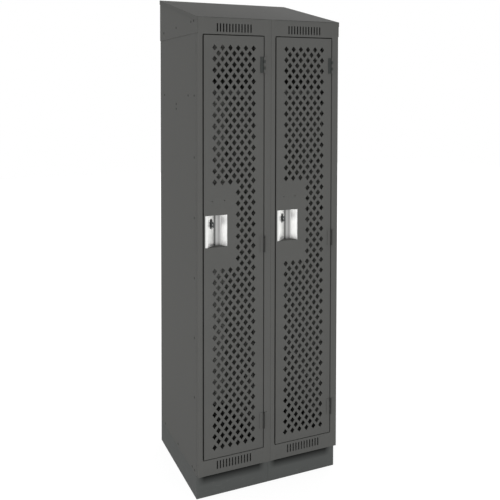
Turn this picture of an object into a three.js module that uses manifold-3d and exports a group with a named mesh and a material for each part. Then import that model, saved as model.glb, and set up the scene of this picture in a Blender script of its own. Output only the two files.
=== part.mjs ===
// A two-wide, single-tier ventilated steel locker: perforated doors, a sloping hood, a closed base.
// Millimetres, +Z up. The doors face -Y and the floor is at z = 0.
// Inside a locker, x runs from its left side, y from its front face backwards, and z from the floor.
import * as THREE from 'three';
import { mergeVertices } from 'three/addons/utils/BufferGeometryUtils.js';
import Module from 'manifold-3d';

const wasm = await Module();
wasm.setup();

// ---- Driving sizes -------------------------------------------------------------------------

const lockerWidth = 304.8;
const bodyDepth = 457.2;
const baseHeight = 88.9;
const frontHeight = 1836; // floor to the hood's front edge
const hoodRise = 118.6; // front edge of the hood to its rear edge

const sheet = 1.5; // body and frame sheet
const doorSheet = 1.9;
const seat = 0.3; // between pieces that rest on or are welded to each other

const latchStileWidth = 18.2;
const hingeStileWidth = 27.9;
const headerHeight = 64;
const sillHeight = 59.5;
const sillLift = 5; // base to the sill's lower edge
const latchGap = 5.2; // door to latch stile
const hingeGap = 4.2; // door to hinge stile
const headGap = 3.5; // door to header
const footGap = 3; // door to sill
const stopDepth = 26; // face of the frame to the door stops
const stopWidth = 8;
const lapDepth = 48; // how far a stile's outer leg runs back under the side panel
const sideSetback = 21; // face of the frame to the side panel's front edge

const ventCount = 12;
const ventPitch = 12.7;
const ventWidth = 5.2;
const ventHeight = 32;
const ventInset = 9.2; // rail's edge at the door to its slots

const doorDepth = 18;
const doorReturn = 10;
const stiffenerWidth = 18;
const stiffenerDepth = 12;
const stiffenerGap = 3; // door's return to the stiffener
const diamondWidth = 20;
const diamondHeight = 24.6;
const diamondPitchX = 32.4;
const diamondPitchZ = 42.36;
const diamondColumns = 6;
const diamondMargin = 43.4; // door's end to the centre of the first row, before the drop
const diamondDrop = 2.9; // door's middle down to the middle of the rows
const plainAbove = 177; // pocket's middle to the top of the unperforated patch
const plainBelow = 140;
const plainBeside = 34; // pocket's right edge to the right edge of that patch

const pocketHeight = 122;
const pocketWidth = 90.1;
const pocketInset = 5.7; // door's edge to the pocket's opening
const pocketCentreZ = 1027.5;
const pocketDepth = 28;
const pocketSheet = 1.2;
const pocketFlange = 9.4; // seen in the opening, on the latch's side
const gripFlange = 9; // behind the door's face, on the other side
const latchPanelRun = 39; // across the door, of the slanted panel with the slot
const gripPanelRun = 15.7; // the same, of the slanted panel opposite
const slotHeight = 39;
const slotWidth = 16;
const slotRise = 27; // pocket's middle to the slot's middle

const lugHeight = 20;
const lugReach = 13.5;
const lugSheet = 3;
const lugRest = 7; // slot's lower end to the lug, before it is lifted
const lugEye = 5.5; // padlock hole
const latchPlate = 2.5;
const latchBarWidth = 8;
const latchFootWidth = 24; // wider than the slot, so that the latch stays behind it
const latchTail = 20; // lug's lower end to the latch's
const latchClearance = 0.5; // handle pocket to the sliding plate
const noseHeight = 14;
const noseClearance = 1; // door's back to the nose

const strikeGap = 0.4; // nose to the tongue under it
const strikeHeight = 45;
const tongueSheet = 3;
const tongueReach = 15; // door's edge to the end of the tongue

const hingeHeight = 62;
const hingeInset = 109; // door's end to the middle of the hinge nearest to it
const barrelRadius = 3.8;
const pinRadius = 1.9;
const pinGap = 0.4;
const leafSheet = 1.6;
const doorLeafWidth = 17;
const frameLeafWidth = 14.5;
const knuckles = 5;
const knuckleGap = 0.4;

const trayFlange = 20;
const floorLift = 22; // base to the locker's floor
const topDrop = 7.5; // top of the header to the flat top
const shelfDrop = 269; // top of the header to the shelf
const shelfLip = 25;
const shelfSetback = 34;

const hoodSkirt = 59; // the hood's front edge to its lower edge
const hoodFlange = 18;
const hoodGap = 0.5; // body to the hood's ends

const kickSetback = 19.5;
const kickReturn = 25;
const floorFlange = 25;
const baseFlange = 20; // under the locker

const hookDepth = 249; // frame's face to the middle of a coat hook
const hookDrop = 50; // shelf to the hook's upper end
const hookHeight = 42;
const hookReach = 30;
const hookWidth = 14;
const hookSheet = 2.5;
const hookBend = 7;

const plateHoleSpacing = 50;
const plateHoleShift = 8.5; // pocket's middle to the middle of the two, sideways
const plateHoleRise = 115; // the same, upwards
const plateHoleRadius = 2;

// Sides of the polygons that stand for round things.
const barrelSides = 16;
const pinSides = 12;
const arcSides = 6;

// ---- Worked out from them ------------------------------------------------------------------

const slope = Math.atan2(hoodRise, bodyDepth);
const headerTop = frontHeight - sheet - seat;
const headerBottom = frontHeight - headerHeight;
const sillBottom = baseHeight + sillLift;
const sillTop = sillBottom + sillHeight;

const doorLeft = latchStileWidth + latchGap;
const doorRight = lockerWidth - hingeStileWidth - hingeGap;
const doorBottom = sillTop + footGap;
const doorTop = headerBottom - headGap;
const doorCentreX = (doorLeft + doorRight) / 2;

const pocketLeft = doorLeft + pocketInset;
const pocketRight = pocketLeft + pocketWidth;
const pocketBottom = pocketCentreZ - pocketHeight / 2;
const pocketTop = pocketCentreZ + pocketHeight / 2;
const pocketFront = doorSheet + seat; // the pocket is welded to the back of the door's face
const panelStartX = pocketLeft + pocketFlange;
const panelEndX = panelStartX + latchPanelRun;
const panelAngle = Math.atan2(pocketDepth - pocketFront, latchPanelRun);
const slotX = (panelStartX + panelEndX) / 2;
const slotY = pocketFront + (slotX - panelStartX) * Math.tan(panelAngle);
const slotZ = pocketCentreZ + slotRise;

// The latch about the middle of its slot, with the latch down.
const lugBottom = lugRest - slotHeight / 2;
const latchBottom = lugBottom - latchTail;
const latchFront = pocketSheet + latchClearance;
const noseY = doorDepth + noseClearance;

const hingeAxisX = doorRight + hingeGap / 2;
const hingeAxisY = -(seat + barrelRadius);
const hingeMiddles = [doorTop - hingeInset, (doorTop + doorBottom) / 2, doorBottom + hingeInset];

const floorZ = baseHeight + floorLift;
const flatTopZ = headerTop - topDrop;
const shelfZ = headerTop - shelfDrop;
const innerLap = 2 * sheet + 2 * seat; // outer face to the inside of a stile's lapped leg
const rearInside = bodyDepth - sheet - seat; // in front of the back panel

// The cabinet is centred front to back, from the hinge barrels to the hood's rear edge.
const frontY = (2 * barrelRadius + seat - bodyDepth) / 2;

// ---- Materials -----------------------------------------------------------------------------

const bodyPaint = new THREE.MeshStandardMaterial({ color: 0x5c5b5a, roughness: 0.55, metalness: 0.1 });
const doorPaint = new THREE.MeshStandardMaterial({ color: 0x5c5b5a, roughness: 0.55, metalness: 0.1 });
const stainless = new THREE.MeshStandardMaterial({ color: 0xc8c9c9, roughness: 0.3, metalness: 1 });
const hingeSteel = new THREE.MeshStandardMaterial({ color: 0x4a4c4c, roughness: 0.45, metalness: 0.6 });
const latchSteel = new THREE.MeshStandardMaterial({ color: 0x474a4a, roughness: 0.5, metalness: 0.6 });
const zincSteel = new THREE.MeshStandardMaterial({ color: 0xa7a9a8, roughness: 0.4, metalness: 0.9 });

// ---- Shape tools ---------------------------------------------------------------------------

function block([x0, x1], [y0, y1], [z0, z1]) {
  const geometry = new THREE.BoxGeometry(x1 - x0, y1 - y0, z1 - z0);
  return geometry.translate((x0 + x1) / 2, (y0 + y1) / 2, (z0 + z1) / 2);
}

// The outline of a bent sheet: a line of corners, and the same line one thickness to its right.
function bentSheet(corners, thickness) {
  const outer = corners.map(([x, y]) => new THREE.Vector2(x, y));
  const toRight = (from, to) => {
    const along = to.clone().sub(from).normalize();
    return new THREE.Vector2(along.y, -along.x);
  };
  const inner = outer.map((corner, i) => {
    const before = i > 0 ? toRight(outer[i - 1], corner) : toRight(corner, outer[i + 1]);
    const after = i < outer.length - 1 ? toRight(corner, outer[i + 1]) : before;
    const mitre = before.clone().add(after).normalize();
    return corner.clone().addScaledVector(mitre, thickness / mitre.dot(before));
  });
  return new THREE.Shape([...outer, ...inner.reverse()]);
}

function extrude(shape, length) {
  return new THREE.ExtrudeGeometry(shape, { depth: length, bevelEnabled: false, curveSegments: arcSides });
}

// A shape drawn in X and Y, pushed up from z0 to z1.
function upright(shape, z0, z1) {
  return extrude(shape, z1 - z0).translate(0, 0, z0);
}

// A shape drawn in Y and Z, pushed sideways from x0 to x1.
function sideways(shape, x0, x1) {
  const turn = new THREE.Matrix4().makeBasis(
    new THREE.Vector3(0, 1, 0), new THREE.Vector3(0, 0, 1), new THREE.Vector3(1, 0, 0));
  return extrude(shape, x1 - x0).applyMatrix4(turn).translate(x0, 0, 0);
}

// A shape drawn in X and Z, pushed backwards from y0 to y1.
function backwards(shape, y0, y1) {
  const turn = new THREE.Matrix4().makeBasis(
    new THREE.Vector3(1, 0, 0), new THREE.Vector3(0, 0, 1), new THREE.Vector3(0, -1, 0));
  return extrude(shape, y1 - y0).applyMatrix4(turn).translate(0, y1, 0);
}

function rectangle(x0, x1, y0, y1) {
  return new THREE.Shape([
    new THREE.Vector2(x0, y0), new THREE.Vector2(x1, y0),
    new THREE.Vector2(x1, y1), new THREE.Vector2(x0, y1)]);
}

function toSolid(geometry) {
  const bare = geometry.clone();
  bare.deleteAttribute('normal');
  bare.deleteAttribute('uv');
  const merged = mergeVertices(bare, 1e-4);
  const vertProperties = new Float32Array(merged.attributes.position.array);
  const triVerts = new Uint32Array(merged.index.array);
  return new wasm.Manifold(new wasm.Mesh({ numProp: 3, vertProperties, triVerts }));
}

function toGeometry(solid) {
  const mesh = solid.getMesh();
  const geometry = new THREE.BufferGeometry();
  geometry.setAttribute('position', new THREE.BufferAttribute(mesh.vertProperties, 3));
  geometry.setIndex(new THREE.BufferAttribute(mesh.triVerts, 1));
  geometry.computeVertexNormals();
  return geometry;
}

function join(geometries, cuts = []) {
  let solid = toSolid(geometries[0]);
  for (const piece of geometries.slice(1)) solid = solid.add(toSolid(piece));
  for (const cut of cuts) solid = solid.subtract(toSolid(cut));
  return toGeometry(solid);
}

function part(name, geometry, material) {
  const mesh = new THREE.Mesh(geometry, material);
  mesh.name = name;
  return mesh;
}

// ---- Frame ---------------------------------------------------------------------------------

// A stile's face, its return to the door stop, and its outer leg. At the cabinet's outer side
// the leg steps in by one sheet, so that the side panel laps over it and ends up flush.
function stileProfile(width, isOuter) {
  const lapX = sheet + seat;
  const outerX = isOuter ? 0 : seat / 2;
  const lap = [[lapX, lapDepth], [lapX, sideSetback], [outerX, sideSetback - lapX]];
  const leg = isOuter ? lap : [[outerX, stopDepth + sheet]];
  return [...leg, [outerX, 0], [width, 0], [width, stopDepth], [width + stopWidth, stopDepth]];
}

function latchStile(isOuter) {
  return upright(bentSheet(stileProfile(latchStileWidth, isOuter), -sheet), sillBottom, headerTop);
}

function hingeStile(isOuter) {
  const corners = stileProfile(hingeStileWidth, isOuter).map(([x, y]) => [lockerWidth - x, y]);
  return upright(bentSheet(corners, sheet), sillBottom, headerTop);
}

function ventCuts(bottom) {
  const first = doorCentreX - ((ventCount - 1) * ventPitch) / 2;
  const cuts = [];
  for (let i = 0; i < ventCount; i += 1) {
    const x = first + i * ventPitch;
    cuts.push(block([x - ventWidth / 2, x + ventWidth / 2], [-1, sheet + 1], [bottom, bottom + ventHeight]));
  }
  return cuts;
}

const railLeft = latchStileWidth + seat;
const railRight = lockerWidth - hingeStileWidth - seat;
const railStop = stopDepth - seat - sheet; // the rails' door stops lie in front of the stiles' stops

function header() {
  const corners = [
    [railStop, headerBottom - stopWidth], [railStop, headerBottom], [0, headerBottom],
    [0, headerTop], [railStop, headerTop]];
  const rail = sideways(bentSheet(corners, sheet), railLeft, railRight);
  return join([rail], ventCuts(headerBottom + ventInset));
}

function sill() {
  const corners = [
    [railStop, sillTop + stopWidth], [railStop, sillTop], [0, sillTop],
    [0, sillBottom], [railStop, sillBottom]];
  const rail = sideways(bentSheet(corners, -sheet), railLeft, railRight);
  return join([rail], ventCuts(sillTop - ventInset - ventHeight));
}

// ---- Walls, trays and coat hooks -----------------------------------------------------------

// The walls are flat sheets, welded along their rear edges to the back panel.
const wallHeights = [baseHeight + seat, headerTop];

function sidePanel() {
  return block([0, sheet], [sideSetback + seat, rearInside], wallHeights);
}

function centrePartition() {
  return block([-sheet / 2, sheet / 2], [stopDepth + sheet + seat, rearInside], wallHeights);
}

function backPanel() {
  const top = frontHeight - hoodSkirt - seat;
  return block([-lockerWidth, lockerWidth], [bodyDepth - sheet, bodyDepth], [baseHeight + seat, top]);
}

// A floor, shelf or flat top: a sheet with a flange down each side and, on the first two, a front lip.
function tray([x0, x1], frontDepth, topZ, lip = 0) {
  const under = topZ - sheet / 2;
  const pieces = [
    block([x0, x1], [frontDepth, rearInside], [topZ - sheet, topZ]),
    block([x0, x0 + sheet], [frontDepth, rearInside], [topZ - trayFlange, under]),
    block([x1 - sheet, x1], [frontDepth, rearInside], [topZ - trayFlange, under])];
  if (lip > 0) pieces.push(block([x0, x1], [frontDepth, frontDepth + sheet], [topZ - lip, under]));
  return join(pieces);
}

// A single-prong hook: a strip down the wall that turns out into the locker and up again.
function coatHook(wallX, inwards) {
  const midBend = hookBend * (1 - Math.SQRT1_2);
  const corners = [
    [0, hookHeight], [0, hookBend], [midBend, midBend], [hookBend, 0], [hookReach - hookBend, 0],
    [hookReach - midBend, midBend], [hookReach, hookBend], [hookReach, hookHeight / 2]];
  const placed = corners.map(([x, z]) => [wallX + inwards * x, shelfZ - hookDrop - hookHeight + z]);
  const shape = bentSheet(placed, -inwards * hookSheet);
  return backwards(shape, hookDepth - hookWidth / 2, hookDepth + hookWidth / 2);
}

// ---- Door ----------------------------------------------------------------------------------

function diamond(x, z) {
  return new THREE.Path([
    new THREE.Vector2(x, z - diamondHeight / 2), new THREE.Vector2(x + diamondWidth / 2, z),
    new THREE.Vector2(x, z + diamondHeight / 2), new THREE.Vector2(x - diamondWidth / 2, z)]);
}

// Rows of diamonds, every other row shifted by half a pitch and one hole shorter. The patch
// around the pocket stays plain, and only the columns to its right go on past it.
function diamondHoles() {
  const pitches = Math.round((doorTop - doorBottom - 2 * diamondMargin) / diamondPitchZ);
  const firstZ = (doorTop + doorBottom) / 2 - diamondDrop - (pitches * diamondPitchZ) / 2;
  const holes = [];
  for (let row = 0; row <= 2 * pitches; row += 1) {
    const z = firstZ + (row * diamondPitchZ) / 2;
    const count = row % 2 === 0 ? diamondColumns : diamondColumns - 1;
    const besidePocket = z > pocketCentreZ - plainBelow && z < pocketCentreZ + plainAbove;
    for (let column = 0; column < count; column += 1) {
      const x = doorCentreX + (column - (count - 1) / 2) * diamondPitchX;
      if (!besidePocket || x > pocketRight + plainBeside) holes.push(diamond(x, z));
    }
  }
  return holes;
}

function numberPlateHoles() {
  const middle = (pocketLeft + pocketRight) / 2 + plateHoleShift;
  const z = pocketCentreZ + plateHoleRise;
  return [middle - plateHoleSpacing / 2, middle + plateHoleSpacing / 2].map((x) => {
    const hole = new THREE.Path();
    hole.absarc(x, z, plateHoleRadius, 0, 2 * Math.PI);
    return hole;
  });
}

function ring(inset) {
  const shape = rectangle(doorLeft, doorRight, doorBottom, doorTop);
  shape.holes.push(rectangle(doorLeft + inset, doorRight - inset, doorBottom + inset, doorTop - inset));
  return shape;
}

// The pocket's section across the door: a flange, the slanted panel with the latch's slot, the
// back, the slanted panel opposite, and a second flange.
const pocketLine = [
  [pocketLeft - pocketInset / 2, pocketFront], [panelStartX, pocketFront], [panelEndX, pocketDepth],
  [pocketRight - gripPanelRun, pocketDepth], [pocketRight, pocketFront],
  [pocketRight + gripFlange, pocketFront]];

// The door's sheet folds in above and below the pocket, as far back as the pocket goes.
function pocketLedge(z0, z1) {
  const shape = new THREE.Shape([
    new THREE.Vector2(pocketLeft, doorSheet / 2),
    new THREE.Vector2(pocketRight, doorSheet / 2),
    new THREE.Vector2(pocketRight, pocketFront + pocketSheet),
    new THREE.Vector2(pocketRight - gripPanelRun, pocketDepth + pocketSheet),
    new THREE.Vector2(panelEndX, pocketDepth + pocketSheet),
    new THREE.Vector2(panelStartX, pocketFront + pocketSheet),
    new THREE.Vector2(pocketLeft, pocketFront + pocketSheet)]);
  return upright(shape, z0, z1);
}

function doorPanel() {
  const face = rectangle(doorLeft, doorRight, doorBottom, doorTop);
  face.holes.push(rectangle(pocketLeft, pocketRight, pocketBottom, pocketTop));
  face.holes.push(...numberPlateHoles(), ...diamondHoles());
  return join([
    backwards(face, 0, doorSheet),
    backwards(ring(doorSheet), doorSheet / 2, doorDepth),
    backwards(ring(doorReturn), doorDepth - doorSheet, doorDepth),
    pocketLedge(pocketBottom - doorSheet, pocketBottom),
    pocketLedge(pocketTop, pocketTop + doorSheet)]);
}

function doorStiffener() {
  const right = doorRight - doorReturn - stiffenerGap;
  const left = right - stiffenerWidth;
  const rear = pocketFront + stiffenerDepth;
  const corners = [[left, rear], [left, pocketFront], [right, pocketFront], [right, rear]];
  const end = doorSheet + seat;
  return upright(bentSheet(corners, -sheet), doorBottom + end, doorTop - end);
}

// Moves a piece drawn about the slot's middle, with its panel along X, to its place in the door.
function onLatchPanel(geometry) {
  return geometry.rotateZ(panelAngle).translate(slotX, slotY, slotZ);
}

function latchSlot() {
  const half = slotWidth / 2;
  const straight = slotHeight / 2 - half;
  const shape = new THREE.Shape();
  shape.moveTo(-half, -straight);
  shape.absarc(0, -straight, half, Math.PI, 2 * Math.PI);
  shape.absarc(0, straight, half, 0, Math.PI);
  shape.closePath();
  return onLatchPanel(backwards(shape, -pocketSheet, 2 * pocketSheet));
}

function handlePocket() {
  const insert = upright(bentSheet(pocketLine, -pocketSheet), pocketBottom + seat, pocketTop - seat);
  return join([insert], [latchSlot()]);
}

// ---- Latch and strike ----------------------------------------------------------------------

function latchLug() {
  const outline = rectangle(-lugReach, latchFront + latchPlate / 2, lugBottom, lugBottom + lugHeight);
  const eye = new THREE.Path();
  eye.absarc(-lugReach / 2, lugBottom + lugHeight / 2, lugEye / 2, 0, 2 * Math.PI);
  outline.holes.push(eye);
  return sideways(outline, -lugSheet / 2, lugSheet / 2);
}

// A narrow bar behind the slot carries the lug. Its wide foot slides behind the panel and turns
// back, then sideways, to the nose.
function latch() {
  const half = latchFootWidth / 2;
  const plateY = [latchFront, latchFront + latchPlate];
  const bar = block([-latchBarWidth / 2, latchBarWidth / 2], plateY, [latchBottom, lugBottom + lugHeight]);
  const foot = block([-half, half], plateY, [latchBottom, latchBottom + noseHeight]);
  const noseZ = [slotZ + latchBottom, slotZ + latchBottom + noseHeight];
  const webX = slotX - half;
  const webY = slotY - half * Math.sin(panelAngle) + latchFront + latchPlate;
  const web = block([webX, webX + latchPlate], [webY, noseY + latchPlate], noseZ);
  const nose = block([pocketLeft, webX + latchPlate / 2], [noseY, noseY + latchPlate], noseZ);
  return join([onLatchPanel(bar), onLatchPanel(foot), onLatchPanel(latchLug()), web, nose]);
}

// An angle on the latch stile's stop, with a tongue for the latch's nose to sit over.
function strike() {
  const top = slotZ + latchBottom - strikeGap;
  const left = latchStileWidth + seat;
  const back = stopDepth - seat;
  const legY = [back - latchPlate, back];
  const leg = block([left, latchStileWidth + stopWidth], legY, [top - strikeHeight, top]);
  const tongue = block([left, doorLeft + tongueReach], [noseY, back], [top - tongueSheet, top]);
  return join([leg, tongue]);
}

// ---- Hinges --------------------------------------------------------------------------------

function barrel(radius, z0, z1, segments) {
  return new THREE.CylinderGeometry(radius, radius, z1 - z0, segments)
    .rotateX(Math.PI / 2).translate(0, 0, (z0 + z1) / 2);
}

// A leaf about the hinge's axis: a plate with rolled knuckles. firstCut is the first knuckle
// space that belongs to the other leaf.
function hingeLeaf(plateEnds, firstCut) {
  const half = hingeHeight / 2;
  const pitch = hingeHeight / knuckles;
  const reach = barrelRadius + knuckleGap;
  const cuts = [barrel(pinRadius + pinGap, -half - 1, half + 1, pinSides)];
  for (let i = firstCut; i < knuckles; i += 2) {
    const bottom = i === 0 ? -half - 1 : -half + i * pitch - knuckleGap / 2;
    const top = i === knuckles - 1 ? half + 1 : -half + (i + 1) * pitch + knuckleGap / 2;
    cuts.push(block([-reach, reach], [-reach, reach], [bottom, top]));
  }
  const plate = block(plateEnds, [barrelRadius - leafSheet, barrelRadius], [-half, half]);
  return join([plate, barrel(barrelRadius, -half, half, barrelSides)], cuts);
}

const frameLeaf = () => hingeLeaf([0, frameLeafWidth], 1);
const doorLeaf = () => hingeLeaf([-doorLeafWidth, 0], 0);
const hingePin = () => barrel(pinRadius, -hingeHeight / 2, hingeHeight / 2, pinSides);

function atHinge(mesh, z) {
  mesh.position.set(hingeAxisX, hingeAxisY, z);
  return mesh;
}

// ---- Base ----------------------------------------------------------------------------------

const baseTop = baseHeight - seat;

function kickPlate(outerLeft, outerRight) {
  const inset = sheet + seat;
  const x0 = outerLeft ? 0 : seat / 2;
  const x1 = outerRight ? lockerWidth : lockerWidth - seat / 2;
  const leftReturn = outerLeft ? inset : x0;
  const rightReturn = outerRight ? lockerWidth - inset : x1;
  const y = [kickSetback + sheet / 2, kickSetback + kickReturn];
  const z = [inset, baseTop - inset];
  return join([
    block([x0, x1], [kickSetback, kickSetback + sheet], [0, baseTop]),
    block([leftReturn, leftReturn + sheet], y, z),
    block([rightReturn - sheet, rightReturn], y, z)]);
}

// Drawn for the left side. Its lower flange is what the locker stands on and is bolted down by.
function baseSide() {
  const shape = bentSheet([[floorFlange, 0], [0, 0], [0, baseTop], [baseFlange, baseTop]], sheet);
  return backwards(shape, kickSetback + sheet + seat, bodyDepth - sheet - seat);
}

function baseCentreBar() {
  const x = sheet / 2;
  const shape = bentSheet([[baseFlange, 0], [-x, 0], [-x, baseTop], [baseFlange, baseTop]], sheet);
  return backwards(shape, kickSetback + kickReturn + seat, bodyDepth - sheet - seat);
}

function baseBack() {
  return block([-lockerWidth, lockerWidth], [bodyDepth - sheet, bodyDepth], [0, baseTop]);
}

// ---- Hood ----------------------------------------------------------------------------------

const hoodEndX = lockerWidth + hoodGap;
const hoodFlangeX = hoodEndX + sheet + seat;
const hoodLowerZ = frontHeight - hoodSkirt;

// The side view of what stands under the sloping panel, between two depths.
function underSlope(y0, y1) {
  const topAt = (y) => frontHeight + y * Math.tan(slope) - sheet - seat;
  return new THREE.Shape([
    new THREE.Vector2(y0, hoodLowerZ), new THREE.Vector2(y1, hoodLowerZ),
    new THREE.Vector2(y1, topAt(y1)), new THREE.Vector2(y0, topAt(y0))]);
}

// A flat sheet with a flange down each end, tilted by lifting each point with its depth.
function hoodSlopePanel() {
  const outer = hoodFlangeX + sheet;
  const section = bentSheet([[-outer, -hoodFlange], [-outer, 0], [outer, 0], [outer, -hoodFlange]], sheet);
  const tilt = new THREE.Matrix4().makeShear(0, 0, 0, Math.tan(slope), 0, 0);
  return backwards(section, 0, bodyDepth).applyMatrix4(tilt).translate(0, 0, frontHeight);
}

function hoodEnd(x0) {
  return sideways(underSlope(0, bodyDepth), x0, x0 + sheet);
}

function hoodBack() {
  return sideways(underSlope(bodyDepth - sheet, bodyDepth), -lockerWidth, lockerWidth);
}

// ---- Assembly ------------------------------------------------------------------------------

function mirrored(geometry) {
  const solid = toSolid(geometry).mirror([1, 0, 0]);
  return toGeometry(solid);
}

function buildDoor(side) {
  const door = new THREE.Group();
  door.add(part(`${side}_door_panel`, doorPanel(), doorPaint));
  door.add(part(`${side}_door_stiffener`, doorStiffener(), doorPaint));
  door.add(part(`${side}_handle_pocket`, handlePocket(), stainless));
  door.add(part(`${side}_latch`, latch(), latchSteel));
  hingeMiddles.forEach((z, i) => {
    const place = ['top', 'middle', 'bottom'][i];
    door.add(atHinge(part(`${side}_${place}_hinge_door_leaf`, doorLeaf(), hingeSteel), z));
  });
  return door;
}

function buildLocker(side) {
  const isLeft = side === 'left';
  const locker = new THREE.Group();
  const inside = isLeft
    ? [innerLap, lockerWidth - sheet / 2 - seat]
    : [sheet / 2 + seat, lockerWidth - innerLap];
  const behindStops = stopDepth + sheet + seat;
  const leftWall = (isLeft ? sheet : sheet / 2) + seat;
  const rightWall = lockerWidth - (isLeft ? sheet / 2 : sheet) - seat;

  locker.add(part(`${side}_latch_stile`, latchStile(isLeft), bodyPaint));
  locker.add(part(`${side}_hinge_stile`, hingeStile(!isLeft), bodyPaint));
  locker.add(part(`${side}_header`, header(), bodyPaint));
  locker.add(part(`${side}_sill`, sill(), bodyPaint));
  locker.add(part(`${side}_floor`, tray(inside, behindStops, floorZ, trayFlange), bodyPaint));
  locker.add(part(`${side}_flat_top`, tray(inside, behindStops, flatTopZ), bodyPaint));
  locker.add(part(`${side}_hat_shelf`, tray(inside, shelfSetback, shelfZ, shelfLip), bodyPaint));
  locker.add(part(`${side}_locker_left_hook`, coatHook(leftWall, 1), zincSteel));
  locker.add(part(`${side}_locker_right_hook`, coatHook(rightWall, -1), zincSteel));
  locker.add(part(`${side}_strike`, strike(), zincSteel));
  locker.add(part(`${side}_kick_plate`, kickPlate(isLeft, !isLeft), bodyPaint));
  hingeMiddles.forEach((z, i) => {
    const place = ['top', 'middle', 'bottom'][i];
    locker.add(atHinge(part(`${side}_${place}_hinge_frame_leaf`, frameLeaf(), bodyPaint), z));
    locker.add(atHinge(part(`${side}_${place}_hinge_pin`, hingePin(), hingeSteel), z));
  });
  locker.add(buildDoor(side));
  locker.position.x = isLeft ? -lockerWidth : 0;
  return locker;
}

function buildShell() {
  const shell = new THREE.Group();
  const leftPanel = sidePanel().translate(-lockerWidth, 0, 0);
  const leftBase = baseSide().translate(-lockerWidth, 0, 0);
  shell.add(part('left_side_panel', leftPanel, bodyPaint));
  shell.add(part('right_side_panel', mirrored(leftPanel), bodyPaint));
  shell.add(part('centre_partition', centrePartition(), bodyPaint));
  shell.add(part('back_panel', backPanel(), bodyPaint));
  shell.add(part('left_base_side', leftBase, bodyPaint));
  shell.add(part('right_base_side', mirrored(leftBase), bodyPaint));
  shell.add(part('base_centre_bar', baseCentreBar(), bodyPaint));
  shell.add(part('base_back', baseBack(), bodyPaint));
  shell.add(part('hood_slope_panel', hoodSlopePanel(), bodyPaint));
  shell.add(part('hood_left_end', hoodEnd(-hoodEndX - sheet), bodyPaint));
  shell.add(part('hood_right_end', hoodEnd(hoodEndX), bodyPaint));
  shell.add(part('hood_back', hoodBack(), bodyPaint));
  return shell;
}

const cabinet = new THREE.Group();
cabinet.add(buildShell(), buildLocker('left'), buildLocker('right'));
cabinet.position.y = frontY;

export default cabinet;
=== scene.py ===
"""A two-wide perforated steel locker with a sloping hood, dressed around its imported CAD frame."""
import math

import bmesh
import bpy
from mathutils import Matrix, Vector


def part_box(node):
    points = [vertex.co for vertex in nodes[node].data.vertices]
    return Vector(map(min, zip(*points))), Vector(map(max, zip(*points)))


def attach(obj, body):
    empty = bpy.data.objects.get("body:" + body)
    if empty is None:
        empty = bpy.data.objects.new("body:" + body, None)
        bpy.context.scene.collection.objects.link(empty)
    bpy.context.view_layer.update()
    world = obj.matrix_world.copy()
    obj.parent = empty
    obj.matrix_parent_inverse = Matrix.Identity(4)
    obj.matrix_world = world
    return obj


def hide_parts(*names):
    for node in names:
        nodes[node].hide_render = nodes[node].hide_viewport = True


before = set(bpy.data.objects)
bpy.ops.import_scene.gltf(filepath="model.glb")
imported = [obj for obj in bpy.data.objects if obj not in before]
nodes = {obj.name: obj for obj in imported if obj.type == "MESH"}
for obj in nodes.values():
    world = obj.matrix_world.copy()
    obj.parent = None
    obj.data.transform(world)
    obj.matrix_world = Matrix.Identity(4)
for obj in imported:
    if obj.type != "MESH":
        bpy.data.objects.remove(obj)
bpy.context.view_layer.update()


# ---- Camera ---------------------------------------------------------------------------------
# Standing a step to the left of the locker and above its middle, level to within two degrees.
# The frame is shifted instead of tilted, which keeps the locker's upright edges parallel.

camera_data = bpy.data.cameras.new("camera")
camera_data.sensor_width = 36
camera_data.lens = 45.03
camera_data.shift_x = 0.1
camera_data.shift_y = -0.28168
camera_data.clip_end = 60
camera = bpy.data.objects.new("camera", camera_data)
camera.location = (-1.13864, -2.39376, 1.56112)
camera.rotation_euler = (math.pi / 2 - 0.02998, 0.00083, -0.37017)
bpy.context.collection.objects.link(camera)
bpy.context.scene.camera = camera
bpy.context.scene.view_settings.view_transform = "Standard"


# ---- Studio ---------------------------------------------------------------------------------
# A white room lights the locker evenly. Soft lamps low in front and off to the left add a
# little shape. What the camera and shiny metal see is plain white, whatever the light.


def new_material(name):
    """A node material with an empty tree, and a short way to add nodes to it."""
    material = bpy.data.materials.new(name)
    material.use_nodes = True
    material.node_tree.nodes.clear()
    return material


def add_node(tree, kind, inputs=None, **settings):
    """Adds a node, sets its properties, and fills or links its inputs."""
    node = tree.nodes.new(kind)
    for key, value in settings.items():
        setattr(node, key, value)
    for key, value in (inputs or {}).items():
        if isinstance(value, bpy.types.NodeSocket):
            tree.links.new(value, node.inputs[key])
        else:
            node.inputs[key].default_value = value
    return node


def seen_directly(tree):
    """1 for what the camera, a mirror or glass sees, and 0 for light on its way to a surface."""
    path = add_node(tree, "ShaderNodeLightPath")
    mirror = add_node(tree, "ShaderNodeMath", operation="MAXIMUM", inputs={
        0: path.outputs["Is Glossy Ray"], 1: path.outputs["Is Transmission Ray"]})
    either = add_node(tree, "ShaderNodeMath", operation="MAXIMUM", inputs={
        0: path.outputs["Is Camera Ray"], 1: mirror.outputs[0]})
    return either.outputs[0]


def add_lamp(name, place, target, size, power):
    """A rectangular lamp of a given width and height, turned towards a point."""
    data = bpy.data.lights.new(name, "AREA")
    data.shape = "RECTANGLE"
    data.size, data.size_y = size
    data.energy = power
    lamp = bpy.data.objects.new(name, data)
    lamp.location = place
    lamp.rotation_euler = (Vector(target) - Vector(place)).to_track_quat("-Z", "Y").to_euler()
    bpy.context.collection.objects.link(lamp)


room_light = 0.81
middle = (0, 0, 0.95)
add_lamp("front_softbox", (-1.0, -3.4, 0.7), (0, 0, 0.6), (1.2, 1.0), 32)
add_lamp("left_softbox", (-3.4, -0.6, 1.3), middle, (1.6, 2.4), 7)

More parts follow.
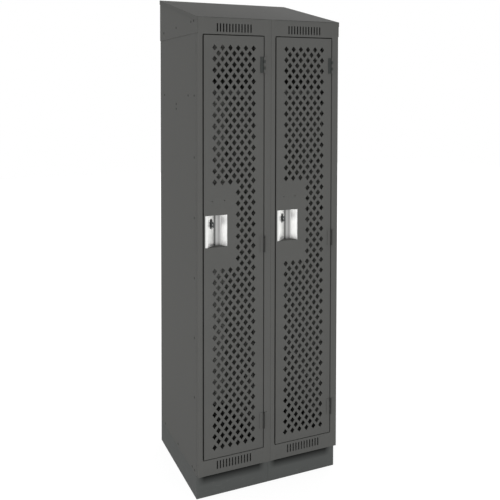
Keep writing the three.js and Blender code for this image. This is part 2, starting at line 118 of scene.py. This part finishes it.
world = bpy.data.worlds.new("white_room")
world.use_nodes = True
bpy.context.scene.world = world
tree = world.node_tree
tree.nodes.clear()
lighting = add_node(tree, "ShaderNodeBackground", {"Color": (1, 1, 1, 1), "Strength": room_light})
backdrop = add_node(tree, "ShaderNodeBackground", {"Color": (1, 1, 1, 1), "Strength": 1.0})
mix = add_node(tree, "ShaderNodeMixShader", {
    0: seen_directly(tree), 1: lighting.outputs[0], 2: backdrop.outputs[0]})
add_node(tree, "ShaderNodeOutputWorld", {"Surface": mix.outputs[0]})

# A pale floor, which throws most of its light back up. It shows as white, with the locker's
# shadow kept near its foot, where the floor's own glow is a little weaker.
floor_half = 9
floor_bounce = (0.85, 0.85, 0.85, 1)
floor_shade = (0.2, 0.2, 0.2, 1)
floor_glow = (0.88, 1.0)
shadow_reach = (0.4, 1.6)
floor_mesh = bpy.data.meshes.new("floor")
floor_bmesh = bmesh.new()
bmesh.ops.create_grid(floor_bmesh, x_segments=1, y_segments=1, size=floor_half)
floor_bmesh.to_mesh(floor_mesh)
floor_bmesh.free()
floor = bpy.data.objects.new("floor", floor_mesh)
bpy.context.collection.objects.link(floor)
floor_paint = new_material("white_floor")
tree = floor_paint.node_tree
bounce = add_node(tree, "ShaderNodeBsdfDiffuse", {"Color": floor_bounce})
shaded = add_node(tree, "ShaderNodeBsdfDiffuse", {"Color": floor_shade})
from_locker = add_node(tree, "ShaderNodeVectorMath", operation="LENGTH", inputs={
    0: add_node(tree, "ShaderNodeTexCoord").outputs["Object"]})
strength = add_node(tree, "ShaderNodeMapRange", {
    "Value": from_locker.outputs["Value"], "From Min": shadow_reach[0], "From Max": shadow_reach[1],
    "To Min": floor_glow[0], "To Max": floor_glow[1]})
glow = add_node(tree, "ShaderNodeEmission", {
    "Color": (1, 1, 1, 1), "Strength": strength.outputs[0]})
shown = add_node(tree, "ShaderNodeAddShader", {0: shaded.outputs[0], 1: glow.outputs[0]})
mix = add_node(tree, "ShaderNodeMixShader", {
    0: seen_directly(tree), 1: bounce.outputs[0], 2: shown.outputs[0]})
add_node(tree, "ShaderNodeOutputMaterial", {"Surface": mix.outputs[0]})
floor_mesh.materials.append(floor_paint)


# ---- Body shell -----------------------------------------------------------------------------
# Folded 1.5 mm sheet steel, spot welded and riveted, then powder coated charcoal all over. The
# coat has a fine pebbled skin, thins over the folds, and holds a little dust where it looks up.


def new_group(name, inputs, outputs):
    """A shader node group with named sockets: (name, default) in, and names of values out."""
    group = bpy.data.node_groups.new(name, "ShaderNodeTree")
    for title, value in inputs:
        kind = "NodeSocketVector" if value is None else "NodeSocketFloat"
        socket = group.interface.new_socket(title, in_out="INPUT", socket_type=kind)
        if value is not None:
            socket.default_value = value
    for title in outputs:
        group.interface.new_socket(title, in_out="OUTPUT", socket_type="NodeSocketFloat")
    return group, group.nodes.new("NodeGroupInput").outputs, group.nodes.new("NodeGroupOutput")


def use_group(tree, group, inputs):
    return add_node(tree, "ShaderNodeGroup", inputs, node_tree=group).outputs


def math_node(tree, operation, *values):
    """The result of one operation on one, two or three values."""
    node = add_node(tree, "ShaderNodeMath", dict(enumerate(values)), operation=operation)
    return node.outputs[0]


def scaled(tree, value, factor, offset=0.0):
    """value * factor + offset."""
    return math_node(tree, "MULTIPLY_ADD", value, factor, offset)


def product(tree, first, second):
    return math_node(tree, "MULTIPLY", first, second)


def size_of(tree, value):
    """The value without its sign."""
    return math_node(tree, "ABSOLUTE", value)


def axes_of(tree, vector):
    """A vector's parts, by the names X, Y and Z."""
    return add_node(tree, "ShaderNodeSeparateXYZ", {0: vector}).outputs


def surface_facing(tree, which="True Normal"):
    return axes_of(tree, add_node(tree, "ShaderNodeNewGeometry").outputs[which])


def noise(tree, position, scale, detail=2.0, roughness=0.5):
    node = add_node(tree, "ShaderNodeTexNoise", {
        "Vector": position, "Scale": scale, "Detail": detail, "Roughness": roughness})
    return node.outputs[0]


def stretched_noise(tree, position, scales, detail=3.0, roughness=0.6):
    """Noise drawn out along the axes whose scale is small."""
    mapped = add_node(tree, "ShaderNodeMapping", {"Vector": position, "Scale": scales})
    return noise(tree, mapped.outputs[0], 1.0, detail, roughness)


def stepped(tree, value, start, end):
    """0 below start and 1 above end, or the other way round where end is the smaller."""
    node = add_node(tree, "ShaderNodeMapRange", {
        "Value": value, "From Min": start, "From Max": end})
    return node.outputs[0]


def blended(tree, factor, first, second):
    """A colour between two, each a socket or a plain colour."""
    node = add_node(tree, "ShaderNodeMix", data_type="RGBA", clamp_factor=True, inputs={
        0: factor, 6: first, 7: second})
    return node.outputs[2]


# Powder coat: a pebble about a millimetre across, a softer swell, and slow drifts in thickness.
powder_coat, given, result = new_group(
    "powder_coat", [("Position", None), ("Pebble", 900.0)], ["Height", "Drift", "Speckle"])
pebble = noise(powder_coat, given["Position"], given["Pebble"], detail=1.0)
swell = noise(powder_coat, given["Position"], scale=160.0)
drift = noise(powder_coat, given["Position"], scale=5.0, detail=3.0, roughness=0.6)
powder_coat.links.new(math_node(powder_coat, "ADD", pebble, swell), result.inputs["Height"])
powder_coat.links.new(drift, result.inputs["Drift"])
powder_coat.links.new(pebble, result.inputs["Speckle"])

# Dust: settles in patches on faces that look up.
settled_dust, given, result = new_group("settled_dust", [("Position", None)], ["Mask"])
upward = stepped(settled_dust, surface_facing(settled_dust, "Normal")["Z"], start=0.55, end=0.98)
patches = noise(settled_dust, given["Position"], scale=14.0, detail=5.0, roughness=0.65)
settled_dust.links.new(product(settled_dust, upward, patches), result.inputs["Mask"])

# Scuffs: short pale rubs where shoes and mops touch, strongest at the floor.
low_scuffs, given, result = new_group("low_scuffs", [("Position", None)], ["Mask"])
marks = stretched_noise(
    low_scuffs, given["Position"], scales=(22.0, 22.0, 120.0), detail=4.0, roughness=0.7)
rubs = stepped(low_scuffs, marks, start=0.60, end=0.78)
near_floor = stepped(low_scuffs, axes_of(low_scuffs, given["Position"])["Z"], start=0.16, end=0.0)
low_scuffs.links.new(product(low_scuffs, rubs, near_floor), result.inputs["Mask"])

# Worn edges: the coat rubs thin along sharp folds. Bevel shading finds them on any mesh.
worn_edges, given, result = new_group(
    "worn_edges", [("Position", None), ("Width", 0.0012)], ["Mask"])
softened = add_node(worn_edges, "ShaderNodeBevel", {"Radius": given["Width"]}, samples=4)
facing = add_node(worn_edges, "ShaderNodeNewGeometry")
turned = add_node(worn_edges, "ShaderNodeVectorMath", operation="DOT_PRODUCT", inputs={
    0: softened.outputs[0], 1: facing.outputs["Normal"]})
edge = stepped(worn_edges, turned.outputs["Value"], start=0.995, end=0.88)
flakes = noise(worn_edges, given["Position"], scale=90.0, detail=4.0, roughness=0.7)
broken = stepped(worn_edges, flakes, start=0.42, end=0.66)
worn_edges.links.new(product(worn_edges, edge, broken), result.inputs["Mask"])

# The colours over the coat, and how much of each shows where it is strongest.
speckle_share = 0.25
dust_grey, dust_share = (0.33, 0.32, 0.30, 1), 0.03
scuff_grey, scuff_share = (0.22, 0.22, 0.215, 1), 0.35
worn_grey, wear_share = (0.20, 0.20, 0.20, 1), 0.30
deep_tone = 0.93
thin_tone = 1.07
speckle_tone = 1.25
gloss_drift = 0.10
coat_shine = 0.03


def toned(colour, tone):
    """A plain colour, made darker or lighter, with its alpha."""
    return [tone * part for part in colour] + [1]


def powder_coated_steel(name, colour, roughness, marked=None, marked_tone=1.0):
    """marked(tree, position) is 1 where the coat has marked_tone times its colour."""
    material = new_material(name)
    tree = material.node_tree
    position = add_node(tree, "ShaderNodeTexCoord").outputs["Object"]
    coat = use_group(tree, powder_coat, {"Position": position})
    dust = use_group(tree, settled_dust, {"Position": position})["Mask"]
    scuffs = use_group(tree, low_scuffs, {"Position": position})["Mask"]
    wear = use_group(tree, worn_edges, {"Position": position})["Mask"]
    paint = blended(tree, coat["Drift"], toned(colour, deep_tone), toned(colour, thin_tone))
    speckle = scaled(tree, coat["Speckle"], speckle_share)
    paint = blended(tree, speckle, paint, toned(colour, speckle_tone))
    paint = blended(tree, scaled(tree, dust, dust_share), paint, dust_grey)
    paint = blended(tree, scaled(tree, scuffs, scuff_share), paint, scuff_grey)
    paint = blended(tree, scaled(tree, wear, wear_share), paint, worn_grey)
    if marked is not None:
        paint = blended(tree, marked(tree, position), paint, toned(colour, marked_tone))
    gloss = scaled(tree, coat["Drift"], gloss_drift, roughness - gloss_drift / 2)
    bump = add_node(tree, "ShaderNodeBump", {
        "Strength": 0.35, "Distance": 0.00012, "Height": coat["Height"]})
    surface = add_node(tree, "ShaderNodeBsdfPrincipled", {
        "Base Color": paint, "Roughness": gloss, "Normal": bump.outputs[0],
        "Specular IOR Level": coat_shine})
    add_node(tree, "ShaderNodeOutputMaterial", {"Surface": surface.outputs[0]})
    return material


charcoal = (0.0950, 0.0955, 0.0915)
# The hood is painted a little darker than the body, as painted shade for its slope, which takes
# more light from above.
hood_shaded_charcoal = (0.0890, 0.0895, 0.0860)
base_charcoal = (0.0905, 0.0940, 0.0915)
coat_roughness = 0.55
sides = ("left", "right")
outer_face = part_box("right_side_panel")[1][0]
back_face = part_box("back_panel")[1][1]
locker_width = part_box("left_hinge_stile")[1][0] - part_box("left_latch_stile")[0][0]
front_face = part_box("left_header")[0][1]

# How far behind the front face the rebates' painted shade starts and ends, and how far in from the
# outer faces the stiles' and the walls' inner faces count as such.
rebate_start, rebate_end = 0.0012, 0.0035
stile_skin = (0.0020, 0.0026)
wall_skin = (0.0006, 0.0009)
rebate_shade_share = 0.15
rebate_shade_tone = 0.12
# How much paler the walls' inner faces are painted, as painted light.
inner_wall_light_tone = 3.6
# How much paler the hood ends' downward edges are painted, as painted light.
underside_light_tone = 2.2


def across_locker(tree, position):
    """Distance from the left edge of the locker that a point belongs to."""
    return math_node(tree, "WRAP", axes_of(tree, position)["X"], locker_width, 0.0)


def rebate(tree, position):
    """The frame's returns and door stops, just behind its face, but not its sides: painted shade
    for the door gaps.
    """
    place = axes_of(tree, position)
    behind = stepped(tree, place["Y"], front_face + rebate_start, front_face + rebate_end)
    off_middle = size_of(tree, place["X"])
    inner = stepped(tree, off_middle, locker_width - stile_skin[0], locker_width - stile_skin[1])
    return scaled(tree, product(tree, behind, inner), rebate_shade_share)


def underside_painted_light(tree, position):
    """Lower edges that face down, painted paler as painted light, so they look as lit as the side
    below them.
    """
    return stepped(tree, surface_facing(tree)["Z"], start=-0.5, end=-0.8)


def painted_light_inside(tree, position):
    """The inner faces of the lockers' walls, painted paler as painted light for the light that
    falls in through the diamonds.
    """
    place = axes_of(tree, position)
    off_middle = size_of(tree, place["X"])
    between_sides = stepped(tree, off_middle, outer_face - wall_skin[0], outer_face - wall_skin[1])
    before_back = stepped(tree, place["Y"], back_face - wall_skin[0], back_face - wall_skin[1])
    return product(tree, between_sides, before_back)


body_coat = powder_coated_steel("charcoal_body_coat", charcoal, coat_roughness)
wall_coat_painted_light = powder_coated_steel(
    "charcoal_wall_coat", charcoal, coat_roughness, painted_light_inside, inner_wall_light_tone)
frame_coat_rebate_shade = powder_coated_steel(
    "charcoal_frame_coat", charcoal, coat_roughness, rebate, rebate_shade_tone)
base_coat = powder_coated_steel("charcoal_base_coat", base_charcoal, coat_roughness)
hood_coat_painted_shade = powder_coated_steel("charcoal_hood_coat", hood_shaded_charcoal, coat_roughness)
hood_end_coat_painted_light = powder_coated_steel(
    "charcoal_hood_end_coat", charcoal, coat_roughness, underside_painted_light, underside_light_tone)


def finish_nodes(names, material):
    """Gives CAD nodes a finish: their shapes stay as they are."""
    for name in names:
        nodes[name].data.materials.clear()
        nodes[name].data.materials.append(material)


def add_piece(name, shape, material, body, smooth_below=None):
    """Makes a bmesh an object that moves with a body. Edges under an angle are shaded smooth."""
    mesh = bpy.data.meshes.new(name)
    if smooth_below is not None:
        for face in shape.faces:
            face.smooth = True
        for edge in shape.edges:
            edge.smooth = len(edge.link_faces) == 2 and edge.calc_face_angle(0) < smooth_below
    shape.to_mesh(mesh)
    shape.free()
    mesh.materials.append(material)
    piece = bpy.data.objects.new(name, mesh)
    bpy.context.collection.objects.link(piece)
    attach(piece, body)
    return piece


# A press brake leaves no sharp corner: each fold gets a radius, and the sheet's cut edges none.
weld_distance = 1e-6
flat_angle = math.radians(1)
least_fold_angle = math.radians(15)
smooth_fold_angle = math.radians(40)
shortest_fold = 0.025
narrowest_face = 0.003
thickest_sheet = 0.002


def is_fold(edge):
    """Whether an edge is bent sheet, and not a cut edge or the thin end of a bent sheet."""
    if len(edge.link_faces) != 2 or edge.calc_length() < shortest_fold:
        return False
    if edge.calc_face_angle(0) < least_fold_angle:
        return False
    areas = [face.calc_area() for face in edge.link_faces]
    widths = [2 * area / face.calc_perimeter() for area, face in zip(areas, edge.link_faces)]
    return min(areas) / edge.calc_length() > narrowest_face and min(widths) > thickest_sheet


def round_folds(node, radius, material, body, segments=3):
    """Stands a copy of a CAD sheet, with its folds rounded, in for the CAD node."""
    shape = bmesh.new()
    shape.from_mesh(nodes[node].data)
    bmesh.ops.remove_doubles(shape, verts=shape.verts, dist=weld_distance)
    bmesh.ops.dissolve_limit(shape, angle_limit=flat_angle, verts=shape.verts, edges=shape.edges)
    folds = [edge for edge in shape.edges if is_fold(edge)]
    bmesh.ops.bevel(
        shape, geom=folds, offset=radius, segments=segments, profile=0.5, affect="EDGES",
        clamp_overlap=False, material=-1)
    piece = add_piece(f"{node}_folded", shape, material, body, smooth_fold_angle)
    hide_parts(node)


fold_radius = 0.0010
finish_nodes(["left_side_panel", "right_side_panel", "centre_partition", "back_panel"], wall_coat_painted_light)
finish_nodes(["hood_back"], hood_coat_painted_shade)
finish_nodes(["hood_left_end", "hood_right_end"], hood_end_coat_painted_light)
finish_nodes(["base_back"], base_coat)
for name in ("left_base_side", "right_base_side", "base_centre_bar"):
    round_folds(name, fold_radius, base_coat, "cabinet")
round_folds("hood_slope_panel", fold_radius, hood_coat_painted_shade, "cabinet")
for side in sides:
    for piece in ("floor", "flat_top", "hat_shelf"):
        round_folds(f"{side}_{piece}", fold_radius, body_coat, "cabinet")
    for piece in ("latch_stile", "hinge_stile", "header", "sill"):
        round_folds(f"{side}_{piece}", fold_radius, frame_coat_rebate_shade, "cabinet")


# ---- Frame welds ----------------------------------------------------------------------------
# Each header and sill butts against the stiles with a hair's gap. The joints are welded, ground
# flush and coated over, so a narrow band of filled metal closes the gap and the stile's fold.

joint_gap = 0.0003
weld_overlap = 0.0005
weld_depth = 0.0012
weld_rise = 0.00003
for side in sides:
    shape = bmesh.new()
    for rail in ("header", "sill"):
        low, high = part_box(f"{side}_{rail}")
        for edge, outwards in ((low[0], -1), (high[0], 1)):
            reach = joint_gap + fold_radius + weld_overlap
            ends = (edge - outwards * weld_overlap, edge + outwards * reach)
            band = bmesh.ops.create_cube(shape, size=1.0)["verts"]
            bmesh.ops.scale(shape, verts=band, vec=(
                abs(ends[1] - ends[0]), weld_depth, high[2] - low[2] - 2 * fold_radius))
            bmesh.ops.translate(shape, verts=band, vec=(
                sum(ends) / 2, front_face - weld_rise + weld_depth / 2, (low[2] + high[2]) / 2))
    add_piece(f"{side}_frame_welds", shape, frame_coat_rebate_shade, "cabinet")


# ---- Kick plates ----------------------------------------------------------------------------
# A folded plate under each locker, set back from its face and coated a little cooler, and painted a
# little darker as painted shade. A painted shadow darkens it up under the rail, thinning out
# towards the stiles.

kick_tint_and_shade_grey = (0.0850, 0.0890, 0.0865)
rail_ends = [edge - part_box("left_latch_stile")[0][0] for edge in (
    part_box("left_header")[0][0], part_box("left_header")[1][0])]
rail_fade = 0.026
rail_shadow_top = 0.080
rail_shadow_reach = 0.034
rail_shadow_tone = 0.12


# Painted shadow: 1 high up under the rail, fading downwards and towards the stiles.
def painted_rail_shadow(tree, position):
    high = stepped(tree, axes_of(tree, position)["Z"], rail_shadow_top - rail_shadow_reach, rail_shadow_top)
    across = across_locker(tree, position)
    from_left = stepped(tree, across, rail_ends[0] - rail_fade / 2, rail_ends[0] + rail_fade / 2)
    from_right = stepped(tree, across, rail_ends[1] + rail_fade / 2, rail_ends[1] - rail_fade / 2)
    return product(tree, high, product(tree, from_left, from_right))


kick_coat_painted_shadow = powder_coated_steel(
    "charcoal_kick_plate_coat_painted_shadow", kick_tint_and_shade_grey, coat_roughness, painted_rail_shadow, rail_shadow_tone)
for side in sides:
    round_folds(f"{side}_kick_plate", fold_radius, kick_coat_painted_shadow, "cabinet")


# ---- Rivets ---------------------------------------------------------------------------------
# Low domed steel rivets, coated a darker charcoal than the body. They hold the side panels to the
# stiles, floor and shelf, the hood's ends to the body, and each outer coat hook to its panel.

dome_rings = 4
dome_steps = 16
smooth_dome_angle = math.radians(50)


def domes(name, radius, height, placings, material, body):
    """One object of equal domed heads, one for each matrix that places a dome's base."""
    single = bmesh.new()
    rise = [i / dome_rings * math.pi / 2 for i in range(dome_rings)]
    curve = [(radius * math.cos(angle), height * math.sin(angle)) for angle in rise]
    section = [(0.0, 0.0)] + curve + [(0.0, height)]
    points = [single.verts.new((x, 0, z)) for x, z in section]
    edges = [single.edges.new(pair) for pair in zip(points, points[1:])]
    bmesh.ops.spin(
        single, geom=points + edges, axis=(0, 0, 1), cent=(0, 0, 0), steps=dome_steps,
        angle=2 * math.pi, use_merge=True)
    bmesh.ops.remove_doubles(single, verts=single.verts, dist=weld_distance)
    bmesh.ops.recalc_face_normals(single, faces=single.faces)
    head = bpy.data.meshes.new(name + "_one")
    single.to_mesh(head)
    single.free()
    shape = bmesh.new()
    for matrix in placings:
        already = len(shape.verts)
        shape.from_mesh(head)
        shape.verts.ensure_lookup_table()
        bmesh.ops.transform(shape, matrix=matrix, verts=shape.verts[already:])
    bpy.data.meshes.remove(head)
    return add_piece(name, shape, material, body, smooth_dome_angle)


hood_end_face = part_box("hood_right_end")[1][0]
stile_line = 0.041
rivet_radius = 0.0050
rivet_height = 0.0012
lowest_in_column = 0.385
column_pitch = 0.2305
column_rivets = [(stile_line, lowest_in_column + i * column_pitch) for i in range(5)]
floor_rivets = [(y, 0.1018) for y in (stile_line, 0.0667, 0.2335, 0.403)]
shelf_rivets = [(y, 1.5415) for y in (stile_line, 0.108, 0.402)]
hook_rivets = [(0.249, 1.486), (0.249, 1.506)]
hood_rivets = [(stile_line, 1.8235), (0.070, 1.822), (0.243, 1.815), (0.405, 1.807)]

rivet_grey = (0.0380, 0.0382, 0.0366)
rivet_roughness = 0.5
rivet_coat = powder_coated_steel("charcoal_rivet_coat", rivet_grey, rivet_roughness)
for side, sign in (("left", -1), ("right", 1)):
    out = Matrix.Rotation(sign * math.pi / 2, 4, "Y")
    placings = [
        Matrix.Translation((sign * outer_face, front_face + y, z)) @ out
        for y, z in column_rivets + floor_rivets + shelf_rivets + hook_rivets]
    placings += [
        Matrix.Translation((sign * hood_end_face, front_face + y, z)) @ out for y, z in hood_rivets]
    domes(
        f"{side}_side_rivets", rivet_radius, rivet_height, placings, rivet_coat, "cabinet")


# ---- Doors ----------------------------------------------------------------------------------
# One sheet each, punched with diamonds, folded back all round and folded in again behind. Welded
# behind it is an upright channel on the hinge side. Coated like the body, with painted shade on its
# narrow sides.

pocket_low, pocket_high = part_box("left_handle_pocket")
pocket_middle = (pocket_low[2] + pocket_high[2]) / 2
pocket_half = (pocket_high[2] - pocket_low[2]) / 2
pocket_rim = 0.010

# How far behind the door's face the returns start and end, and how nearly a face has to look
# straight along an axis to count as one of them or as a ledge.
skin_start, skin_end = 0.0003, 0.0016
square_on = (0.90, 0.97)
level_on = (0.90, 0.98)
returns_shade_tone = 0.6


def returns(tree, position):
    """The door's narrow sides, behind its face, painted darker as painted shade for the gaps round
    the door, but not the ledges of the handle's opening.
    """
    place = axes_of(tree, position)
    behind = stepped(tree, place["Y"], front_face + skin_start, front_face + skin_end)
    facing = surface_facing(tree)
    level = size_of(tree, facing["Z"])
    square = math_node(tree, "MAXIMUM", size_of(tree, facing["X"]), level)
    walls = product(tree, behind, stepped(tree, square, *square_on))
    from_pocket = size_of(tree, scaled(tree, place["Z"], 1.0, -pocket_middle))
    near_pocket = stepped(
        tree, from_pocket, pocket_half + 2 * pocket_rim, pocket_half + pocket_rim)
    ledge = product(tree, near_pocket, stepped(tree, level, *level_on))
    return product(tree, walls, stepped(tree, ledge, start=1.0, end=0.0))


door_coat_returns_shade = powder_coated_steel(
    "charcoal_door_coat", charcoal, coat_roughness, returns, returns_shade_tone)
for side in sides:
    for piece in ("door_panel", "door_stiffener"):
        round_folds(f"{side}_{piece}", fold_radius, door_coat_returns_shade, f"{side}_door")


# ---- Silencers ------------------------------------------------------------------------------
# Three soft black rubber buttons for each door to close on, which belong on the front of the
# door stop on the latch's side. Known fault: they lie too deep, 2 mm clear behind the stop. The
# door panel's box reaches back to the ledges at its pocket, not only to the panel's own edges.

silencer_radius = 0.0037
silencer_height = 0.0062
silencer_inset = 0.0040
silencer_shares = (0.08, 0.5, 0.92)
door_to_stop = 0.0065
stop_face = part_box("left_door_panel")[1][1] + door_to_stop
rubber_blacks = ((0.018, 0.018, 0.018, 1), (0.032, 0.032, 0.031, 1))
rubber = new_material("silencer_rubber")
tree = rubber.node_tree
position = add_node(tree, "ShaderNodeTexCoord").outputs["Object"]
bloom = noise(tree, position, scale=300.0, detail=4.0, roughness=0.6)
surface = add_node(tree, "ShaderNodeBsdfPrincipled", {
    "Base Color": blended(tree, bloom, *rubber_blacks),
    "Roughness": scaled(tree, bloom, factor=0.2, offset=0.6)})
add_node(tree, "ShaderNodeOutputMaterial", {"Surface": surface.outputs[0]})
towards_door = Matrix.Rotation(math.pi / 2, 4, "X")
for side in sides:
    stop_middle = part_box(f"{side}_latch_stile")[1][0] - silencer_inset
    low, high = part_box(f"{side}_door_panel")
    heights = [low[2] + share * (high[2] - low[2]) for share in silencer_shares]
    placings = [Matrix.Translation((stop_middle, stop_face, z)) @ towards_door for z in heights]
    domes(
        f"{side}_silencers", silencer_radius, silencer_height, placings, rubber, "cabinet")


# ---- Handle pockets -------------------------------------------------------------------------
# Folded 1.2 mm stainless steel, welded behind the door's opening, brushed upright. Its colour holds
# painted reflections and painted shade: bright on the flange and the grip side, duller on the folds
# and the hollow between them, darkest in a painted shadow at the inner corner.

brushed_grain, given, result = new_group(
    "brushed_grain", [("Position", None)], ["Height", "Streak", "Smear"])
fine = stretched_noise(brushed_grain, given["Position"], scales=(2600.0, 2600.0, 18.0))
streak = stretched_noise(brushed_grain, given["Position"], scales=(240.0, 240.0, 3.0))
smear = noise(brushed_grain, given["Position"], scale=45.0, detail=3.0, roughness=0.6)
brushed_grain.links.new(fine, result.inputs["Height"])
brushed_grain.links.new(streak, result.inputs["Streak"])
brushed_grain.links.new(smear, result.inputs["Smear"])

# How bright the steel is painted across one pocket, as painted reflections and painted shade, by
# the share of its width from the latch side.
flange = ((0.037, 0.76), (0.105, 0.79), (0.120, 0.93))
latch_panel = ((0.154, 0.77), (0.233, 0.65), (0.341, 0.48), (0.419, 0.35))
shaded_corner = ((0.454, 0.20), (0.493, 0.06), (0.511, 0.08), (0.542, 0.27))
pocket_back = ((0.586, 0.46), (0.669, 0.27), (0.752, 0.40))
grip_panel = ((0.772, 1.00), (0.831, 0.96), (0.910, 0.90))
pocket_painted_reflections = flange + latch_panel + shaded_corner + pocket_back + grip_panel
pocket_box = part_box("right_handle_pocket")
pocket_left = pocket_box[0][0]
pocket_width = pocket_box[1][0] - pocket_left
streak_grey, streak_share = (0.80, 0.80, 0.80, 1), 0.35
steel_warmth = 0.985
steel_metallic = 0.65
pocket_fold_radius = 0.0012
stainless = new_material("brushed_stainless_painted_reflections")
tree = stainless.node_tree
position = add_node(tree, "ShaderNodeTexCoord").outputs["Object"]
ramp = add_node(tree, "ShaderNodeValToRGB", {
    0: stepped(tree, across_locker(tree, position), pocket_left, pocket_left + pocket_width)})
for i, (place, tone) in enumerate(pocket_painted_reflections):
    stop = ramp.color_ramp.elements[i] if i < 2 else ramp.color_ramp.elements.new(place)
    stop.position = place
    stop.color = (tone, tone, steel_warmth * tone, 1)
grain = use_group(tree, brushed_grain, {"Position": position})
dull = add_node(tree, "ShaderNodeMix", data_type="RGBA", blend_type="MULTIPLY", inputs={
    0: scaled(tree, grain["Streak"], streak_share), 6: ramp.outputs[0], 7: streak_grey})
smeared = scaled(tree, grain["Smear"], factor=0.14, offset=0.30)
gloss = math_node(tree, "ADD", smeared, scaled(tree, grain["Height"], factor=0.12, offset=-0.06))
bump = add_node(tree, "ShaderNodeBump", {
    "Strength": 0.25, "Distance": 0.00003, "Height": grain["Height"]})
surface = add_node(tree, "ShaderNodeBsdfPrincipled", {
    "Base Color": dull.outputs[2], "Metallic": steel_metallic, "Roughness": gloss,
    "Normal": bump.outputs[0]})
add_node(tree, "ShaderNodeOutputMaterial", {"Surface": surface.outputs[0]})
for side in sides:
    round_folds(
        f"{side}_handle_pocket", pocket_fold_radius, stainless, f"{side}_door",
        segments=4)


# ---- Latches, strikes, hooks and hinges -----------------------------------------------------
# The lifting latches are blackened steel, painted black as painted shade where they lie behind the
# pocket's panel, and the strikes and coat hooks zinc plated. The hinges were coated with the body,
# their knuckles painted darker as painted shade; all the pins are dark steel, and the top hinges'
# door leaves are painted the same dark steel as painted shade.

worn_metal, given, result = new_group("worn_metal", [("Position", None)], ["Cloud", "Nick"])
cloud = noise(worn_metal, given["Position"], scale=70.0, detail=4.0, roughness=0.6)
nick = noise(worn_metal, given["Position"], scale=420.0, detail=3.0, roughness=0.7)
worn_metal.links.new(cloud, result.inputs["Cloud"])
worn_metal.links.new(stepped(worn_metal, nick, start=0.62, end=0.74), result.inputs["Nick"])
nick_grey, nick_share = (0.32, 0.32, 0.31, 1), 0.5
painted_shade_black = (0.004, 0.004, 0.004, 1)
gloss_cloud = 0.2


def cloudy_metal(name, dark, light, roughness, metallic, shine=0.5, hidden=None):
    """hidden(tree, position) is 1 where the metal is painted black, as painted shade."""
    material = new_material(name)
    tree = material.node_tree
    position = add_node(tree, "ShaderNodeTexCoord").outputs["Object"]
    wear = use_group(tree, worn_metal, {"Position": position})
    metal = blended(tree, wear["Cloud"], [*dark, 1], [*light, 1])
    metal = blended(tree, scaled(tree, wear["Nick"], nick_share), metal, nick_grey)
    bare = metallic
    if hidden is not None:
        shade_mask = hidden(tree, position)
        metal = blended(tree, shade_mask, metal, painted_shade_black)
        bare = scaled(tree, shade_mask, -metallic, metallic)
    gloss = scaled(tree, wear["Cloud"], gloss_cloud, roughness - gloss_cloud / 2)
    bump = add_node(tree, "ShaderNodeBump", {
        "Strength": 0.3, "Distance": 0.00005, "Height": wear["Cloud"]})
    surface = add_node(tree, "ShaderNodeBsdfPrincipled", {
        "Base Color": metal, "Metallic": bare, "Roughness": gloss, "Normal": bump.outputs[0],
        "Specular IOR Level": shine})
    add_node(tree, "ShaderNodeOutputMaterial", {"Surface": surface.outputs[0]})
    return material


# The pocket's slotted panel slopes back from its front fold to its back fold.
front_fold = (0.0385, 0.0022)
back_fold = (0.0775, 0.0280)
panel_slope = (back_fold[1] - front_fold[1]) / (back_fold[0] - front_fold[0])
clear_of_panel = 0.0015


def shaded_behind_panel(tree, position):
    """The part of a latch behind the slotted panel, painted black as painted shade for what is seen
    through the slot.
    """
    offset = panel_slope * front_fold[0] - front_fold[1] - front_face
    depth = scaled(tree, axes_of(tree, position)["Y"], 1.0, offset)
    sloped = scaled(tree, across_locker(tree, position), -panel_slope)
    past = math_node(tree, "ADD", depth, sloped)
    return stepped(tree, past, clear_of_panel, 2 * clear_of_panel)


blackened = cloudy_metal(
    "blackened_and_shaded_latch_steel", dark=(0.055, 0.057, 0.058), light=(0.100, 0.104, 0.104),
    roughness=0.42, metallic=0.5, shine=0.1, hidden=shaded_behind_panel)
pin_steel_and_leaf_shade = cloudy_metal(
    "dark_hinge_steel", dark=(0.036, 0.0395, 0.038), light=(0.050, 0.0545, 0.052),
    roughness=0.45, metallic=0.1, shine=0.1)
zinc = cloudy_metal(
    "zinc_plate", dark=(0.40, 0.41, 0.42), light=(0.56, 0.56, 0.55),
    roughness=0.38, metallic=0.9)
hinge_places = ("top", "middle", "bottom")
leaf_thickness = 0.0016
knuckle_start = front_face - 1.6 * leaf_thickness
knuckle_end = front_face - 2.0 * leaf_thickness
knuckle_shade_tone = 0.4


def knuckles(tree, position):
    """The rolled part of a leaf, which stands out past its flat part, painted darker as painted
    shade on the barrel.
    """
    return stepped(tree, axes_of(tree, position)["Y"], knuckle_start, knuckle_end)


hinge_coat_knuckle_shade = powder_coated_steel(
    "charcoal_hinge_coat", charcoal, coat_roughness, knuckles, knuckle_shade_tone)
for side in sides:
    hooks = [f"{side}_locker_left_hook", f"{side}_locker_right_hook"]
    finish_nodes([f"{side}_latch"], blackened)
    finish_nodes([f"{side}_strike", *hooks], zinc)
    finish_nodes([f"{side}_top_hinge_frame_leaf"], body_coat)
    finish_nodes([f"{side}_top_hinge_door_leaf"], pin_steel_and_leaf_shade)
    finish_nodes([f"{side}_{place}_hinge_pin" for place in hinge_places], pin_steel_and_leaf_shade)
    for place in hinge_places[1:]:
        leaves = [f"{side}_{place}_hinge_frame_leaf", f"{side}_{place}_hinge_door_leaf"]
        finish_nodes(leaves, hinge_coat_knuckle_shade)
